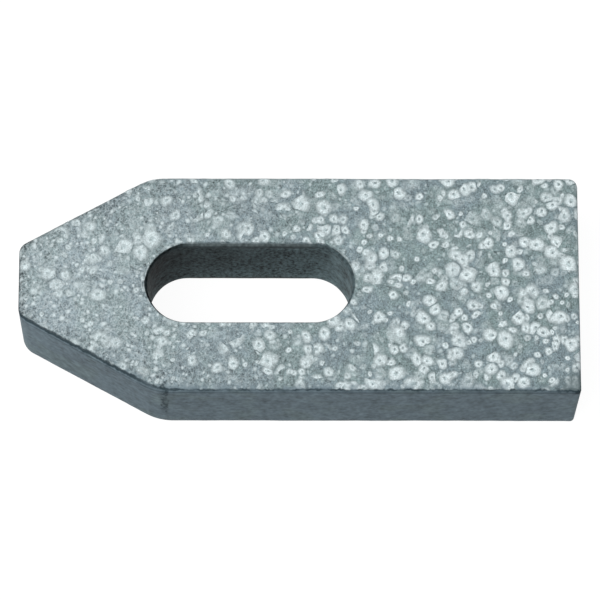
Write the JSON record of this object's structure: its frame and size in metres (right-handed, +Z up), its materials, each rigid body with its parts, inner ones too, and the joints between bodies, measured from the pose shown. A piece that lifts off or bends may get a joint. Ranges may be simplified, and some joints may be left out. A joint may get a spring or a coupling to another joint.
{
  "type": "strap clamp",
  "caption": "Flat steel strap clamp with a tapered nose and a long through slot for a clamping stud.",
  "frame": {"origin": "middle of the underside, halfway along the length and across the width", "axes": "+Y along the length from the heel to the nose, +Z up from the underside to the top face, +X to the right as seen from the heel"},
  "size_m": [0.04, 0.1, 0.02],
  "materials": {
    "scaled_steel": "matte"
  },
  "bodies": {
    "root": {"strap_clamp": "scaled_steel"}
  },
  "joints": []
}
